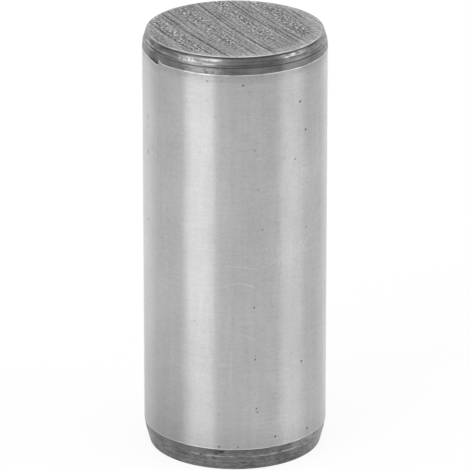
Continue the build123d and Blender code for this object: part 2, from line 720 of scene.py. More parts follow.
@dataclass(frozen=True)
class BlackScale:
    """Hardening scale left on turned steel: a dark, patchy skin, worn to bright metal in places.

    The turning lines show through it as light and dark rings. Its dents are bump, as they are too small to
    change any edge that shows.
    """

    colour: str = "#7C7C7C"
    dark_colour: str = "#4C4C4C"
    chip_shade_colour: str = "#484848"
    roughness: float = 0.42
    roughness_swing: float = 0.08
    lightness: float = 0.25
    line_share: float = 0.7
    patch_share: float = 0.5
    patches: Grain = Grain((1.4, 1.4, 1.0), 0.35, 0.65, 3.0, seed=5.0)
    dent: Grain = Grain((0.45, 0.45, 0.30), 0.20, 0.80, 1.0, seed=15.0)
    dent_depth: float = 0.012

    def material(self, rings: Sequence[Ring]) -> bpy.types.Material:
        """Builds the material.

        Args:
            rings: The rings that are worn, polished or dirty, and the painted glints, reflections and
                shade.

        Returns:
            The material, which reads Object coordinates and the attributes of the lines and the chip.
        """
        made, add, shader = new_material("black_scale_on_steel")
        place = add("ShaderNodeTexCoord").outputs["Object"]
        height = add(SEPARATE, (place,)).outputs["Z"]
        turned = add(STORED, attribute_name="turned").outputs["Fac"]
        patches = self.patches.layer(add, place)
        light = add(MATH, (TURNING.layer(add, place), MIDDLE), "SUBTRACT")
        light = add(MATH, (light, turned), "MULTIPLY")
        light = add(MATH, (light, self.line_share, self.lightness), "MULTIPLY_ADD")
        light = add(MATH, (patches, self.patch_share, light), "MULTIPLY_ADD", use_clamp=True)
        shade = paint(add, linear(self.dark_colour), [(light, self.colour)])
        roughest, smoothest = self.roughness + self.roughness_swing, self.roughness - self.roughness_swing
        rough = add(MAP_RANGE, (patches, 0.0, 1.0, roughest, smoothest))
        level = add(VECTOR_MATH, (place, (1.0, 1.0, 0.0)), "MULTIPLY")
        outward = add(VECTOR_MATH, (level,), "NORMALIZE")
        for ring in rings:
            inside = ring.layer(add, place, height, outward)
            shade = paint(add, shade, [(inside, ring.colour)])
            rough = add(MIX, {0: inside, 2: rough, 3: ring.roughness})
        # The chip's hollow is painted in shade, darker where it is deeper
        chip = add(STORED, attribute_name="chip").outputs["Fac"]
        bump = {"Distance": self.dent_depth * MM, "Height": self.dent.layer(add, place)}
        finish = {
            "Base Color": paint(add, shade, [(chip, self.chip_shade_colour)]),
            "Metallic": 1.0,
            "Roughness": rough,
            "Normal": add("ShaderNodeBump", bump),
        }
        fill(shader, finish)
        return made


@dataclass(frozen=True)
class PitOxide:
    """The dark oxide in a corrosion pit, which takes the shine out of it."""

    colour: str = "#686868"
    roughness: float = 0.8

    def material(self) -> bpy.types.Material:
        """Builds the material."""
        made, _, shader = new_material("pit_oxide")
        fill(shader, {"Base Color": linear(self.colour), "Roughness": self.roughness})
        return made


@dataclass(frozen=True)
class WheelCutSteel:
    """Steel cut by an abrasive wheel: a dull grey face of long fine lines, darkest where they are deep,
    with dark oxide and painted shade in them.

    Torn belts give it dark pocks, darkened with oxide and painted shade, and bright flecks. Its margin is
    calmer, and widest on one side. The burrs beside its scores and the line on its rim are painted
    highlights.
    """

    colour: str = "#A9A9A9"
    groove_oxide_and_shade_colour: str = "#101010"
    pock_oxide_and_shade_colour: str = "#181818"
    fleck_and_burr_highlight_colour: str = "#DCDCDC"
    margin_colour: str = "#B8B8B8"
    grit_colour: str = "#303030"
    rim_highlight_colour: str = "#D8D8D8"
    roughness: float = 0.42
    # The margin's widest side, and its widths in millimetres from the face's radius
    margin_side: float = 62.0
    margin_lean: float = 0.10
    margin_raggedness: float = 0.5
    margin_start: float = -0.6
    margin_full: float = 0.1
    margin_amount: float = 0.9
    marks_in_margin: float = 0.5
    # Torn grains are pocks where they are low, darkened with oxide and painted shade, and flecks where they
    # are high. The burrs are painted highlights
    pock_top: float = 0.64
    fleck_foot: float = 0.70
    fleck_amount: float = 0.9
    burr_highlight_amount: float = 0.6
    grit_amount: float = 0.50
    torn_grit: float = 0.12
    # The painted highlight on the rim, strongest on one side, and its widths in millimetres
    rim_side: float = 8.0
    rim_raggedness: float = 0.26
    rim_start: float = -0.20
    rim_full: float = 0.04
    rim_highlight_amount: float = 0.8
    rim_behind: float = 0.25
    rim_side_start: float = 0.3
    rim_side_full: float = 0.9
    ragged: Grain = Grain((0.8, 0.8, 0.8), 0.3, 0.7, 2.0, seed=21.0)
    grit: Grain = Grain((0.17, 0.40, 0.40), 0.40, 0.75, 1.0, seed=31.0)

    def material(self, radius: float) -> bpy.types.Material:
        """Builds the material.

        Args:
            radius: The face's radius, in millimetres.

        Returns:
            The material, which reads Object coordinates.
        """
        made, add, shader = new_material("wheel_cut_steel")
        place = add("ShaderNodeTexCoord").outputs["Object"]
        turn = {"Vector": place, "Angle": -math.radians(MARKS.azimuth) - math.pi}
        turned = add("ShaderNodeVectorRotate", turn, rotation_type="Z_AXIS")
        depth, grains, torn, burr_highlight = MARKS.pattern(add, turned)

        # The margin
        level = add(VECTOR_MATH, (place, (1.0, 1.0, 0.0)), "MULTIPLY")
        out = add(VECTOR_MATH, (level,), "LENGTH").outputs["Value"]
        side, front = (
            add(VECTOR_MATH, (place, tuple(compass(azimuth))), "DOT_PRODUCT").outputs["Value"]
            for azimuth in (self.margin_side, self.rim_side)
        )
        lean = add(MATH, (side, self.margin_lean, out), "MULTIPLY_ADD")
        ragged = self.ragged.layer(add, place)
        edge = add(MATH, (ragged, self.margin_raggedness * MM, lean), "MULTIPLY_ADD")
        start, full = (radius + self.margin_start) * MM, (radius + self.margin_full) * MM
        margin = add(MAP_RANGE, (edge, start, full, 0.0, self.margin_amount))

        # The marks, calmer in the margin. Grooves and pocks are darkened with oxide and painted shade
        calm = add(MAP_RANGE, (margin, 0.0, 1.0, 1.0, self.marks_in_margin))
        groove_oxide_and_shade, torn = (add(MATH, (mark, calm), "MULTIPLY") for mark in (depth, torn))
        low = add(MAP_RANGE, (grains, 0.0, self.pock_top, 1.0, 0.0))
        high = add(MAP_RANGE, (grains, self.fleck_foot, 1.0, 0.0, self.fleck_amount))
        pock_oxide_and_shade, flecks = (add(MATH, (grain, torn), "MULTIPLY") for grain in (low, high))
        # The burrs are painted highlights beside the scores
        ridge = add(MATH, (burr_highlight, self.burr_highlight_amount), "MULTIPLY")
        speckle = add(MATH, (self.grit.layer(add, turned), self.grit_amount), "MULTIPLY")
        speckle = add(MATH, (torn, self.torn_grit, speckle), "MULTIPLY_ADD")

        # The rim's line, a painted highlight on its edge
        burred = add(MATH, (ragged, self.rim_raggedness * MM, out), "MULTIPLY_ADD")
        start, full = (radius + self.rim_start) * MM, (radius + self.rim_full) * MM
        line = add(MAP_RANGE, (burred, start, full, 0.0, self.rim_highlight_amount))
        start, full = self.rim_side_start * radius * MM, self.rim_side_full * radius * MM
        shown = add(MAP_RANGE, (front, start, full, self.rim_behind, 1.0))
        rim = add(MATH, (line, shown), "MULTIPLY")
        layers = (
            (margin, self.margin_colour),
            (speckle, self.grit_colour),
            (ridge, self.fleck_and_burr_highlight_colour),
            (groove_oxide_and_shade, self.groove_oxide_and_shade_colour),
            (pock_oxide_and_shade, self.pock_oxide_and_shade_colour),
            (flecks, self.fleck_and_burr_highlight_colour),
            (rim, self.rim_highlight_colour),
        )
        shade = paint(add, linear(self.colour), layers)
        fill(shader, {"Base Color": shade, "Metallic": 1.0, "Roughness": self.roughness})
        return made


# ---------------------------------------------------------------------------------------- the pin


class End(Enum):
    """The two ends of the pin."""

    LOWER = "lower"
    UPPER = "upper"


@dataclass(frozen=True)
class Row:
    """One row of the wall, in millimetres, and what happens to it.

    The shares are how far the row moves with the barrel's wandering edge, how deep its turning lines
    are, and whether it is on the ground barrel, on the part that the chip cuts, on the scaled lead-in, or
    on the brink of the barrel.
    """

    radius: float
    height: float
    slide: float = 0.0
    turned: float = 0.0
    ground: float = 0.0
    chipped: float = 0.0
    scaled: float = 0.0
    brink: float = 0.0


@dataclass(frozen=True)
class LeadIn:
    """The turned lead-in of one end: a main chamfer beside the face, and a run-out up to the barrel.

    Heights are in millimetres along the pin, and angles in degrees from its axis.
    """

    end: End
    chamfer_height: float
    chamfer_angle: float
    runout_height: float
    runout_angle: float
    chamfer_rows: int
    runout_rows: int
    chamfer_lines: float
    runout_lines: float
    rim_rows: int = 3
    rim: float = 0.08
    crease: float = 0.025

    @property
    def height(self) -> float:
        """The whole lead-in's height, in millimetres."""
        return self.chamfer_height + self.runout_height

    def rows(self, radius: float) -> list[Row]:
        """Gives the lead-in's outline, from its end face to the barrel's edge.

        Args:
            radius: The barrel's radius, in millimetres.

        Returns:
            The rows, with their heights measured from the face.
        """
        lean = math.radians(self.chamfer_angle)
        ridge = radius - self.runout_height * math.tan(math.radians(self.runout_angle))
        face = ridge - self.chamfer_height * math.tan(lean)
        swing = math.pi / 2 - lean
        centre = face - self.rim * math.tan(swing / 2)
        cut = float(self.end is End.UPPER)
        rows = []
        for step in range(self.rim_rows + 1):
            turn = swing * step / self.rim_rows
            rows.append(
                Row(
                    centre + self.rim * math.sin(turn),
                    self.rim - self.rim * math.cos(turn),
                    scaled=float(step > 0),
                )
            )
        start = rows[-1]
        length = self.chamfer_height - start.height
        shares = [step / self.chamfer_rows for step in range(1, self.chamfer_rows)]
        for share in shares + [1 - self.crease / length, 1.0]:
            rows.append(
                Row(
                    start.radius + (ridge - start.radius) * share,
                    start.height + length * share,
                    turned=self.chamfer_lines * float(share in shares),
                    chipped=cut,
                    scaled=1.0,
                )
            )
        shares = [step / self.runout_rows for step in range(1, self.runout_rows)]
        tight = self.crease / self.runout_height
        for share in [tight] + shares + [1 - tight, 1.0]:
            rows.append(
                Row(
                    ridge + (radius - ridge) * share,
                    self.chamfer_height + self.runout_height * share,
                    slide=share,
                    turned=self.runout_lines * float(share in shares),
                    ground=float(share == 1.0),
                    chipped=cut,
                    scaled=1.0,
                    brink=float(share == 1.0),
                )
            )
        return rows


@dataclass(frozen=True)
class Chip:
    """The chip in the barrel's upper edge, in millimetres, and in degrees from the front towards +X."""

    azimuth: float = -59.5
    depth: float = 0.10
    drop: float = 0.28
    wall_angle: float = 5.2
    tail_angle: float = -10.0
    burr_rise: float = 0.25
    burr_run: float = 0.45


@dataclass
class PistonPin:
    """The pin, as one closed skin that stands for its CAD solid."""

    lower: LeadIn = LeadIn(End.LOWER, 1.35, 15.0, 0.70, 10.0, 17, 7, 0.6, 0.4)
    upper: LeadIn = LeadIn(End.UPPER, 0.86, 17.0, 0.61, 6.0, 12, 7, 1.0, 0.15)
    chip: Chip = Chip()
    pits: tuple[Pit, ...] = PITS
    stains_and_shade: tuple[Pit, ...] = STAINS_AND_SHADE
    pit_roughness: float = 0.03
    pit_detail: int = 3
    sharp: float = 40.0
    barrel_rows: int = 8
    edge_band: float = 0.45
    brink: float = 0.11
    across: int = 220
    along: int = 110
    mark_depth: float = 0.016
    tear_depth: float = 0.014
    plain_rim: float = 0.3
    turning_depth: float = 0.010
    edge_waviness: float = 0.05
    edge_seed: float = 7.0
    weld: float = 0.0001

    def __post_init__(self) -> None:
        """Reads the pin's radius and length from the frame."""
        low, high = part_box(NODE)
        self.radius = (high.x - low.x) / 2 / MM
        self.length = (high.z - low.z) / MM

    def half_section(self) -> bpy.types.Mesh:
        """Builds the half-section that the wall is turned from.

        Returns:
            A chain of vertices in the XZ plane, one for each row of the wall, with the row's shares.
        """
        start, stop = self.lower.height, self.length - self.upper.height
        crease = self.upper.crease
        rows = self.lower.rows(self.radius)
        rows.append(Row(self.radius, start + crease, slide=1.0, ground=1.0, brink=1.0))
        rows.append(Row(self.radius, start + self.brink, slide=1.0, ground=1.0))
        span = stop - start - 2 * self.edge_band
        for step in range(self.barrel_rows + 1):
            height = start + self.edge_band + span * step / self.barrel_rows
            rows.append(Row(self.radius, height, ground=1.0))
        rows.append(Row(self.radius, stop - self.brink, slide=1.0, ground=1.0, chipped=1.0))
        rows.append(Row(self.radius, stop - crease, slide=1.0, ground=1.0, chipped=1.0, brink=1.0))
        upper_rows = reversed(self.upper.rows(self.radius))
        rows += [replace(row, height=self.length - row.height) for row in upper_rows]
        mesh = bpy.data.meshes.new("half_section")
        mesh.from_pydata(
            [(row.radius * MM, 0, row.height * MM) for row in rows],
            [(i, i + 1) for i in range(len(rows) - 1)],
            [],
        )
        for name in ROW_SHARES:
            layer = mesh.attributes.new(name, "FLOAT", "POINT")
            layer.data.foreach_set("value", [getattr(row, name) for row in rows])
        return mesh

    def pit_places(self) -> bpy.types.Mesh:
        """Builds a loose vertex for each pit, with the turn and the size of its hollow."""
        mesh = bpy.data.meshes.new("pit_places")
        mesh.from_pydata([pit.place() for pit in self.pits], [], [])
        turns = [(0.0, 0.0, math.radians(pit.azimuth)) for pit in self.pits]
        sizes = [(pit.width / 2 * MM, pit.depth * MM, pit.height / 2 * MM) for pit in self.pits]
        for name, values in (("spin", turns), ("size", sizes)):
            layer = mesh.attributes.new(name, "FLOAT_VECTOR", "POINT")
            layer.data.foreach_set("vector", [number for value in values for number in value])
        return mesh

    def wall_angle(self, add: Adder, rows: Any, across: Any, along: Any) -> tuple[Any, Any]:
        """Finds each grid point's row, and its angle round the pin.

        The columns are spaced like the rim points of the end faces: close over the two quarters that
        face along the wheel's marks, and wider over the other two.

        Args:
            add: Adds a node to the wall's tree.
            rows: How many rows the grid has.
            across: Columns in a close quarter.
            along: Columns in a wide quarter.

        Returns:
            The row, and the angle in radians from the marks' direction.
        """
        half = add(MATH, (across, along), "ADD")
        index = add("GeometryNodeInputIndex")
        row = add(MATH, (index, rows), "MODULO")
        share = add(MATH, (index, rows), "DIVIDE")
        column = add(MATH, (share,), "FLOOR")
        halves = add(MATH, (column, half), "DIVIDE")
        whole = add(MATH, (halves,), "FLOOR")
        rest = add(MATH, (column, half), "MODULO")
        close = add(MATH, (rest, across), "MINIMUM")
        close_share = add(MATH, (close, across), "DIVIDE")
        wide = add(MATH, (rest, close), "SUBTRACT")
        wide_share = add(MATH, (wide, along), "DIVIDE")
        part = add(MATH, (close_share, wide_share), "ADD")
        quarters = add(MATH, (whole, 2.0, part), "MULTIPLY_ADD")
        angle = add(MATH, (quarters, math.pi / 2, -math.pi / 4), "MULTIPLY_ADD")
        return row, angle

    def chip_moves(self, add: Adder, given: Any, angle: Any) -> tuple[Any, Any, Any]:
        """Works out what the chip and its burr do at an angle round the pin.

        Args:
            add: Adds a node to the wall's tree.
            given: The tree's inputs.
            angle: The angle of a point, in radians.

        Returns:
            1 inside the chip, the radius of its flat floor, and how far the barrel's edge is moved up.
        """
        off = add(MATH, (given["Chip angle"], angle), "SUBTRACT")
        facing = add(MATH, (off,), "COSINE")
        floor_radius = add(MATH, (given["Chip floor"], facing), "DIVIDE")
        sideways = add(MATH, (off,), "TANGENT")
        reach = add(MATH, (sideways, given["Chip floor"]), "MULTIPLY")

        # A tangent repeats behind the pin, so only 60 degrees to each side of the chip count
        near = add(MATH, (facing, math.cos(math.radians(60.0))), "GREATER_THAN")
        after_tail = add(MATH, (reach, given["Chip tail"]), "GREATER_THAN")
        before_wall = add(MATH, (reach, given["Chip wall"]), "LESS_THAN")
        cut = add(MATH, (after_tail, before_wall), "MULTIPLY")
        inside = add(MATH, (cut, near), "MULTIPLY")
        slope = add(MAP_RANGE, (reach, given["Chip tail"], given["Chip wall"], 0.0, given["Chip drop"]))
        burr_end = add(MATH, (given["Chip wall"], given["Burr run"]), "ADD")
        flake = add(MAP_RANGE, (reach, given["Chip wall"], burr_end, given["Burr rise"], 0.0))
        after_wall = add(MATH, (near, inside), "SUBTRACT")
        after_wall = add(MATH, (after_wall, after_tail), "MULTIPLY")
        rise = add(MATH, (flake, after_wall), "MULTIPLY")
        drop = add(MATH, (slope, inside), "MULTIPLY")
        lift = add(MATH, (rise, drop), "SUBTRACT")
        return inside, floor_radius, lift

    def wall_tree(self) -> bpy.types.NodeTree:
        """Builds the tree that turns the half-section into the wall, with its tool lines and its chip.

        Returns:
            The geometry tree.
        """
        tree, add, given = new_geometry("turned_wall", WALL_INPUTS, "Wall")
        section, across, along = given["Half section"], given["Across"], given["Along"]
        half = add(MATH, (across, along), "ADD")
        columns = add(MATH, (half, 2.0, 1.0), "MULTIPLY_ADD")
        rows = add("GeometryNodeAttributeDomainSize", (section,), component="MESH")
        grid = add("GeometryNodeMeshGrid", (1.0, 1.0, columns, rows))
        row, angle = self.wall_angle(add, rows, across, along)
        sine = add(MATH, (angle,), "SINE")
        cosine = add(MATH, (angle,), "COSINE")
        place = add("GeometryNodeInputPosition")
        point = add(SAMPLE, {"Geometry": section, "Value": place, "Index": row}, data_type="FLOAT_VECTOR")
        parts = add(SEPARATE, (point,))
        radius, height = parts.outputs["X"], parts.outputs["Z"]
        share = {}
        for name in ROW_SHARES:
            stored = add(ATTRIBUTE, (name,), data_type="FLOAT")
            share[name] = add(SAMPLE, {"Geometry": section, "Value": stored, "Index": row})

        # The chip's floor is below the lead-in that it cuts, and its edge slides down the barrel
        inside, floor_radius, lift = self.chip_moves(add, given, angle)
        lower = add(MATH, (radius, floor_radius), "MINIMUM")
        on_cone = add(MATH, (share["chipped"], share["ground"]), "GREATER_THAN")
        scooped = add(MATH, (inside, on_cone), "MULTIPLY")
        cut_radius = add(MIX, {0: scooped, 2: radius, 3: lower})
        chip_lift = add(MATH, (lift, share["chipped"]), "MULTIPLY")

        # The barrel's edge wanders as the grinding wheel ran out along the cone
        flat_x = add(MATH, (radius, sine), "MULTIPLY")
        flat_y = add(MATH, (radius, cosine), "MULTIPLY")
        ring = add(COMBINE, (flat_x, flat_y, height))
        wander = EDGE_WANDER.layer(add, ring, given["Seed"])
        drift = add(MATH, (wander, MIDDLE), "SUBTRACT")
        drift = add(MATH, (drift, given["Edge waviness"], chip_lift), "MULTIPLY_ADD")
        final_height = add(MATH, (drift, share["slide"], height), "MULTIPLY_ADD")

        # The tool's lines go round the cones
        lines = TURNING.layer(add, ring)
        sunk = add(MATH, (lines, 1.0), "SUBTRACT")
        sunk = add(MATH, (sunk, share["turned"]), "MULTIPLY")
        final_radius = add(MATH, (sunk, given["Turning depth"], cut_radius), "MULTIPLY_ADD")
        x = add(MATH, (final_radius, sine), "MULTIPLY")
        y = add(MATH, (final_radius, cosine), "MULTIPLY")
        position = add(COMBINE, (x, y, final_height))

        # What the finishes need to know is stored on the wall
        depth = add(MATH, (lift, given["Chip drop"]), "DIVIDE")
        depth = add(MATH, (depth, -1.0), "MULTIPLY", use_clamp=True)
        sides = add(MATH, (depth, share["slide"]), "MULTIPLY")
        kept = {name: share[name] for name in ("ground", "scaled", "brink", "turned")}
        # How deep the chip is, which the scale's finish paints as shade in the hollow
        kept["chip"] = add(MATH, (sides, scooped), "MULTIPLY")
        wall = grid
        for name, value in kept.items():
            stored = {"Geometry": wall, "Name": name, "Value": value}
            wall = add("GeometryNodeStoreNamedAttribute", stored, data_type="FLOAT")
        wall = add("GeometryNodeSetPosition", {"Geometry": wall, "Position": position})
        add("NodeGroupOutput", (add("GeometryNodeFlipFaces", (wall,)),))
        return tree

    def face_tree(self) -> bpy.types.NodeTree:
        """Builds the tree of one end face: a grid pulled to a disc, its lines along the wheel's marks.

        Returns:
            The geometry tree.
        """
        tree, add, given = new_geometry("wheel_cut_face", FACE_INPUTS, "Face")
        points_across = add(MATH, (given["Across"], 1.0), "ADD")
        points_along = add(MATH, (given["Along"], 1.0), "ADD")
        grid = add("GeometryNodeMeshGrid", (1.0, 1.0, points_across, points_along))
        place = add("GeometryNodeInputPosition")
        swing = add(VECTOR_MATH, {0: place, "Scale": math.pi / 2}, "SCALE")
        sines = add(VECTOR_MATH, (swing,), "SINE")
        cosines = add(VECTOR_MATH, (swing,), "COSINE")
        sine, cosine = add(SEPARATE, (sines,)), add(SEPARATE, (cosines,))
        x = add(MATH, (sine.outputs["X"], cosine.outputs["Y"]), "MULTIPLY")
        y = add(MATH, (cosine.outputs["X"], sine.outputs["Y"]), "MULTIPLY")
        flat = add(COMBINE, (x, y, 0.0))
        reach = add(MATH, (given["Radius"], math.sqrt(2)), "MULTIPLY")
        disc = add(VECTOR_MATH, {0: flat, "Scale": reach}, "SCALE")

        # The marks are cut into the face, and end at its rim
        depth, grains, torn, _ = MARKS.pattern(add, disc)
        line_cut = add(MATH, (depth, given["Mark depth"]), "MULTIPLY")
        pock = add(MATH, (1.0, grains), "SUBTRACT")
        tear = add(MATH, (pock, torn), "MULTIPLY")
        cut = add(MATH, (tear, given["Tear depth"], line_cut), "MULTIPLY_ADD")
        out = add(VECTOR_MATH, (disc,), "LENGTH").outputs["Value"]
        inner = add(MATH, (given["Radius"], self.plain_rim * MM), "SUBTRACT")
        fade = add(MAP_RANGE, (out, inner, given["Radius"], 1.0, 0.0))
        sunk = add(MATH, (cut, fade), "MULTIPLY")
        inwards = add(MATH, (sunk, given["Inwards"], given["Height"]), "MULTIPLY_ADD")
        lift = add(COMBINE, (0.0, 0.0, inwards))
        position = add(VECTOR_MATH, (disc, lift), "ADD")
        face = add("GeometryNodeSetPosition", {"Geometry": grid, "Position": position})
        add("NodeGroupOutput", (face,))
        return tree

    def pin_tree(self) -> bpy.types.NodeTree:
        """Builds the tree of the whole pin: its wall, its two faces, and the finishes they take.

        Returns:
            The geometry tree.
        """
        tree, add, given = new_geometry("piston_pin", {**WALL_INPUTS, **PIN_INPUTS}, "Pin")
        section = given["Half section"]
        passed = {name: given[name] for name in WALL_INPUTS}
        wall = add("GeometryNodeGroup", passed, node_tree=self.wall_tree())
        place = add("GeometryNodeInputPosition")
        rows = add("GeometryNodeAttributeDomainSize", (section,), component="MESH")
        last = add(MATH, (rows, 1.0), "SUBTRACT")
        skin = add("GeometryNodeJoinGeometry", (wall,))
        face_group = self.face_tree()
        for index, inwards in ((0, 1.0), (last, -1.0)):
            rim = {"Geometry": section, "Value": place, "Index": index}
            parts = add(SEPARATE, (add(SAMPLE, rim, data_type="FLOAT_VECTOR"),)).outputs
            values = {name: given[name] for name in ("Across", "Along", "Mark depth", "Tear depth")}
            values.update({"Radius": parts["X"], "Height": parts["Z"], "Inwards": inwards})
            face = add("GeometryNodeGroup", values, node_tree=face_group)
            if inwards > 0:
                face = add("GeometryNodeFlipFaces", (face,))
            fill(skin, (face,))
        closed = add("GeometryNodeMergeByDistance", {"Geometry": skin, "Distance": self.weld * MM})
        smooth = add("GeometryNodeSetShadeSmooth", (closed,))
        spin = add(MATH, (given["Mark azimuth"], math.pi), "ADD")
        turn = add(COMBINE, (0.0, 0.0, spin))
        turned = add("GeometryNodeTransform", {"Geometry": smooth, "Rotation": turn})
        real = add("GeometryNodeRealizeInstances", (turned,))

        # The cut faces with their rims first, then the scaled cones, then the ground barrel
        dressed = add(SET_MATERIAL, {"Geometry": real, "Material": given["Face finish"]})
        for name, least, finish in (("scaled", 0.01, "Lead-in finish"), ("ground", 0.99, "Barrel finish")):
            stored = add(ATTRIBUTE, (name,), data_type="FLOAT")
            where = add("FunctionNodeCompare", (stored, least), "GREATER_THAN")
            values = {"Geometry": dressed, "Selection": where, "Material": given[finish]}
            dressed = add(SET_MATERIAL, values)
        add("NodeGroupOutput", (self.pitted(add, dressed, given),))
        return tree

    def pitted(self, add: Adder, skin: Any, given: Any) -> bpy.types.Node:
        """Cuts the corrosion pits out of the skin.

        Args:
            add: Adds a node to the pin's tree.
            skin: The whole skin, closed and dressed.
            given: The tree's inputs.

        Returns:
            The node that gives the pitted skin.
        """
        places = add("GeometryNodeObjectInfo", (given["Pits"],)).outputs["Geometry"]
        ball = add("GeometryNodeMeshIcoSphere", (1.0, self.pit_detail))
        spin = add(ATTRIBUTE, ("spin",), data_type="FLOAT_VECTOR")
        size = add(ATTRIBUTE, ("size",), data_type="FLOAT_VECTOR")
        values = {"Points": places, "Instance": ball, "Rotation": spin, "Scale": size}
        balls = add("GeometryNodeInstanceOnPoints", values)
        real = add("GeometryNodeRealizeInstances", (balls,))
        place = add("GeometryNodeInputPosition")
        normal = add("GeometryNodeInputNormal")
        uneven = PIT_WALL.layer(add, place)
        out = add(MATH, (uneven, given["Pit roughness"]), "MULTIPLY")
        push = add(VECTOR_MATH, {0: normal, "Scale": out}, "SCALE")
        rough = add("GeometryNodeSetPosition", {"Geometry": real, "Offset": push})
        cutters = add(SET_MATERIAL, {"Geometry": rough, "Material": given["Pit finish"]})
        cut = add("GeometryNodeMeshBoolean", (skin, cutters), "DIFFERENCE", solver="MANIFOLD")
        turn = add("GeometryNodeInputMeshEdgeAngle")
        sharp = add("FunctionNodeCompare", (turn, math.radians(self.sharp)), "LESS_THAN")
        edged = add("GeometryNodeSetShadeSmooth", {"Geometry": cut, "Shade Smooth": sharp}, domain="EDGE")
        barrel = add("GeometryNodeMaterialSelection", (given["Barrel finish"],))
        flat = add(VECTOR_MATH, (place, (1.0, 1.0, 0.0)), "MULTIPLY")
        outward = add(VECTOR_MATH, (flat,), "NORMALIZE")
        facing = add("GeometryNodeSwitch", (barrel, normal, outward), input_type="VECTOR")
        return add("GeometryNodeSetMeshNormal", (edged, facing), mode="FREE", domain="CORNER")

    def rings(self) -> tuple[Ring, ...]:
        """Gives what is worn, polished or dirty on the lead-ins, and their painted glints, reflections and
        shade, from the bottom layer up.
        """
        top, low, edge = self.length, self.lower, self.length - self.upper.height
        ridge = top - self.upper.chamfer_height
        return (
            # The lower lead-in: worn and spotted all round, brighter at the right, dark at one place
            Ring(0.9, 1.3, 0.4, "#8C8C8C", 0.42, RUBBED),
            Ring(1.0, 1.2, 0.7, "#4C4C4C", 0.50, SPOTTED),
            Ring(1.0, 1.2, 0.5, "#A8A8A8", 0.45, WORN, 86.0, 66.0, 16.0),
            Ring(1.8, 0.6, 0.6, "#A0A0A0", 0.45, WORN, 74.0, 92.0, 24.0),
            Ring(low.chamfer_height, 0.09, 0.75, "#B4B4B4", 0.40, RUBBED, 12.0, 90.0, 8.0),
            Ring(low.height - 0.25, 0.24, 0.9, "#2C2C2C", 0.50, RUBBED, -10.0, 9.0, 2.5),
            # Painted glints, brighter and smoother metal where the lamps' glints fall, and dark patches on
            # the upper main chamfer
            Ring(top - 0.46, 0.24, 0.9, "#A0A0A0", 0.36, FLECKED, -31.0, 17.0),
            Ring(top - 0.36, 0.18, 0.6, "#909090", 0.36, FLECKED, -22.0, 12.0, 3.0),
            Ring(top - 0.12, 0.13, 0.85, "#383838", 0.50, BROKEN, -31.0, 15.0, 4.0),
            Ring(top - 0.27, 0.13, 0.8, "#949494", 0.34, RUBBED, -16.0, 16.0, 4.0),
            Ring(top - 0.28, 0.12, 0.7, "#A0A0A0", 0.32, EVEN, -12.0, 9.0, 3.5),
            Ring(top - 0.64, 0.10, 0.6, "#989898", 0.30, EVEN, -16.0, 11.0, 4.0),
            Ring(top - 0.50, 0.42, 0.35, "#484848", 0.45, WORN, 14.0, 46.0, 8.0),
            Ring(top - 0.28, 0.19, 1.0, "#9C9C9C", 0.26, RUBBED, 41.0, 22.0, 5.0),
            Ring(top - 0.45, 0.30, 0.8, "#404040", 0.50, SPOTTED, 58.0, 24.0, 4.0),
            # The upper run-out: painted reflections of the softboxes, brighter and smoother metal in two
            # arcs, and spotted
            Ring(edge + 0.30, 0.34, 0.70, "#A0A0A0", 0.30, EVEN, -21.0, 29.0, 8.0),
            Ring(edge + 0.30, 0.34, 0.40, "#A0A0A0", 0.30, EVEN, 42.0, 26.0, 7.0),
            Ring(edge + 0.30, 0.34, 0.8, "#404040", 0.50, SPOTTED, -21.5, 30.0, 4.0),
            # The sides of the upper lead-in: worn, and galled in rings
            Ring(top - 0.70, 0.95, 0.6, "#A4A4A4", 0.45, WORN, 88.0, 60.0, 14.0),
            Ring(top - 0.70, 0.95, 0.6, "#A4A4A4", 0.45, WORN, -90.0, 54.0, 14.0),
            Ring(top - 0.46, 0.44, 0.6, "#ACACAC", 0.40, TORN, -74.0, 62.0, 12.0),
            Ring(top - 0.42, 0.44, 0.6, "#404040", 0.50, GALLED, -74.0, 62.0, 12.0),
            Ring(top - 0.46, 0.44, 0.4, "#A4A4A4", 0.40, TORN, 72.0, 50.0, 10.0),
            Ring(top - 0.42, 0.44, 0.5, "#404040", 0.50, GALLED, 72.0, 50.0, 10.0),
            Ring(top - 0.46, 0.10, 0.6, "#A8A8A8", 0.40, FLECKED, -60.0, 42.0, 8.0),
            Ring(top - 0.64, 0.07, 0.6, "#303030", 0.50, BROKEN, -60.0, 42.0, 8.0),
            Ring(top - 0.20, 0.24, 0.6, "#404040", 0.50, BROKEN, -56.0, 34.0, 6.0),
            Ring(top - 0.40, 0.40, 0.8, "#404040", 0.50, SPOTTED, -84.0, 36.0, 8.0),
            # Dark lines under the rim, painted shade below its edge, and along the ridge between the two
            # cones
            Ring(top - 0.06, 0.10, 0.8, "#3C3C3C", 0.50, BROKEN, 0.0, 146.0, 8.0),
            Ring(top - 0.06, 0.10, 0.6, "#383838", 0.50, EVEN, 6.0, 66.0, 10.0),
            Ring(ridge, 0.05, 0.8, "#303030", 0.50, EVEN),
            Ring(ridge + 0.05, 0.06, 0.6, "#8C8C8C", 0.45, BROKEN, -70.0, 50.0, 8.0),
        )

